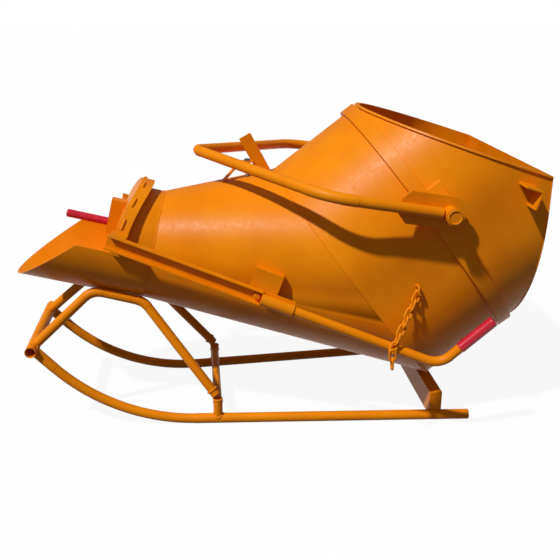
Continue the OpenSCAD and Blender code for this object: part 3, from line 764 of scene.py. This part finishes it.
class BUCKET_OT_grips(BucketPiece):
    """Makes the red sleeves on the front handle and on the lever's end"""
    bl_idname = "bucket.grips"
    bl_label = "Red grips"

    def profile(self, bar_r, length):
        """A sleeve's outline: a rolled lip at the open end, a straight wall and a domed tip."""
        r = bar_r + self.sizes.grip_wall
        lip = [(0, bar_r + 0.0002), (0, r - 0.0006), (0.0012, r + 0.0004), (0.006, r + 0.0004),
               (0.0085, r)]
        wall = [(length - 0.006 + 0.001 * i, r) for i in range(4)]
        turns = [math.pi / 2 * i / 7 for i in range(8)]
        dome = [(length - 0.002 + 0.008 * math.sin(a), r - 0.009 * (1 - math.cos(a)))
                for a in turns]
        return lip + wall + dome + [(length + 0.006, TIP_R)]

    def execute(self, context):
        handle = (GATE_PIVOT + (GATE_R + GATE_T + HANDLE_AHEAD) * NECK_AXIS
                  + HANDLE_UP * NECK_UP + HANDLE_ACROSS * ACROSS)
        corner = (GATE_PIVOT - PIVOT_HALF * ACROSS + LEVER_BEND * ARM_ALONG
                  + LEVER_OUT * ARM_OUT)
        way = math.cos(LEVER_TURN) * ARM_ALONG + math.sin(LEVER_TURN) * ARM_OVER
        grip = corner + LEVER_TO_GRIP * way
        for name, node, base, axis, bar_r, length in (
            ("handle_sleeve", "front_grip", handle, NECK_AXIS, HANDLE_R, HANDLE_GRIP),
            ("lever_sleeve_grip", "lever_grip", grip, way, LEVER_R, LEVER_GRIP),
        ):
            sleeve = lathe(base, axis, self.profile(bar_r, length))
            made = piece(name, *sleeve, "gate", "red_grip", sharp=60)
            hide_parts(node)
        return {"FINISHED"}


class BUCKET_OT_bolts(BucketPiece):
    """Makes the hexagon bolts of the gate pivots and the stud of the bail rest"""
    bl_idname = "bucket.bolts"
    bl_label = "Bolts"

    def execute(self, context):
        for s, name in zip(SIDES, ("near", "far")):
            node = "pivot_bolt_" + name
            low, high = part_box(node)
            root, tip = (high.y, low.y) if s < 0 else (low.y, high.y)
            base, way = Vector((GATE_PIVOT.x, root, GATE_PIVOT.z)), s * ACROSS
            length = abs(tip - root)
            under = length - HEAD_T
            shank = lathe(base, way, [(0, SHANK_R), (under, SHANK_R)], 28)
            washer = lathe(base, way, [
                (under - WASHER_T, SHANK_R), (under - WASHER_T, WASHER_R),
                (under, WASHER_R), (under, SHANK_R)], 36)
            head = lathe(base, way, [
                (under, HEAD_R), (length - HEAD_CHAMFER, HEAD_R),
                (length, HEAD_TOP_R), (length, TIP_R)], 6)
            made = piece("pivot_hex_bolt_" + name, *merged([shank, washer, head]), "bucket",
                         "orange_paint", sharp=25)
            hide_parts(node)
        low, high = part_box("bail_rest_bolt")
        base = Vector(((low.x + high.x) / 2, 0, low.z))
        turns = int((high.z - low.z) / THREAD_STEP) + 1
        thread = [(THREAD_STEP * i, STUD_R - THREAD_DEEP * (i % 2)) for i in range(turns)]
        parts = [lathe(base, UP, thread, 24)]
        tab = TAB_Z - low.z
        for at in (tab - TAB_HALF - NUT_T, tab + TAB_HALF):
            parts.append(lathe(base, UP, [
                (at, NUT_BORE_R), (at, NUT_TOP_R), (at + NUT_CHAMFER, NUT_R),
                (at + NUT_T - NUT_CHAMFER, NUT_R), (at + NUT_T, NUT_TOP_R),
                (at + NUT_T, NUT_BORE_R)], 6))
        made = piece("rest_stud", *merged(parts), "bucket", "bolt_steel", sharp=25)
        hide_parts("bail_rest_bolt")
        return {"FINISHED"}


class BUCKET_OT_stage(BucketPiece):
    """Sets the floor, the light and the camera"""
    bl_idname = "bucket.stage"
    bl_label = "Studio"

    def execute(self, context):
        scene = context.scene
        scene.view_settings.view_transform = "Standard"
        corners = [(FLOOR_REACH * x, FLOOR_REACH * y, 0)
                   for x, y in ((-1, -1), (1, -1), (1, 1), (-1, 1))]
        mesh = bpy.data.meshes.new("studio_floor")
        mesh.from_pydata(corners, [], [(0, 1, 2, 3)])
        mesh.materials.append(studio_floor("White studio floor", self.colours))
        floor = bpy.data.objects.new("studio_floor", mesh)
        scene.collection.objects.link(floor)
        # Clear sun from above the chute and the near side, which throws the bail's crisp shadow
        sun = bpy.data.lights.new("sun", "SUN")
        sun.energy, sun.angle = SUN_STRENGTH, SUN_SPREAD
        lamp = bpy.data.objects.new("sun", sun)
        lamp.rotation_euler = SUN_WAY.to_track_quat("-Z", "Y").to_euler()
        scene.collection.objects.link(lamp)
        world = bpy.data.worlds.new("studio")
        world.use_nodes = True
        tree = world.node_tree
        tree.nodes.clear()
        seen = seen_by(tree, "Is Camera Ray", "Is Transmission Ray")
        strength = ramp(tree, seen, 0.0, 1.0, SKY_LIGHT, SKY_SEEN)
        sky = add(tree, "Background", {"Color": (1, 1, 1, 1)}, {"Strength": strength})
        out = add(tree, "OutputWorld")
        tree.links.new(sky.outputs["Background"], out.inputs["Surface"])
        scene.world = world
        lens = bpy.data.cameras.new("view")
        lens.sensor_width, lens.lens = SENSOR_WIDTH, FOCAL_LENGTH
        view = bpy.data.objects.new("view", lens)
        view.location, view.rotation_euler = LENS_PLACE, LENS_TURN
        scene.collection.objects.link(view)
        scene.camera = view
        return {"FINISHED"}


class BUCKET_PT_panel(bpy.types.Panel):
    """Lists the bucket's settings and steps"""
    bl_idname = "BUCKET_PT_panel"
    bl_label = "Concrete bucket"
    bl_space_type = "VIEW_3D"
    bl_region_type = "UI"
    bl_category = "Bucket"

    def draw(self, context):
        for group in (context.scene.bucket_sizes, context.scene.bucket_colours):
            for name in group.__annotations__:
                self.layout.prop(group, name)
        for step in STEPS:
            self.layout.operator(step.bl_idname)


STEPS = (
    BUCKET_OT_finishes, BUCKET_OT_cone, BUCKET_OT_seams, BUCKET_OT_sled_welds,
    BUCKET_OT_body_welds, BUCKET_OT_gate_welds, BUCKET_OT_bail_welds, BUCKET_OT_grips,
    BUCKET_OT_bolts, BUCKET_OT_stage,
)
CLASSES = (BucketSizes, BucketColours, *STEPS, BUCKET_PT_panel)


def register():
    for cls in CLASSES:
        bpy.utils.register_class(cls)
    bpy.types.Scene.bucket_sizes = bpy.props.PointerProperty(type=BucketSizes)
    bpy.types.Scene.bucket_colours = bpy.props.PointerProperty(type=BucketColours)


def unregister():
    del bpy.types.Scene.bucket_colours
    del bpy.types.Scene.bucket_sizes
    for cls in reversed(CLASSES):
        bpy.utils.unregister_class(cls)


def main():
    register()
    for step in STEPS:
        group, name = step.bl_idname.split(".")
        getattr(getattr(bpy.ops, group), name)()


if __name__ == "__main__":
    main()
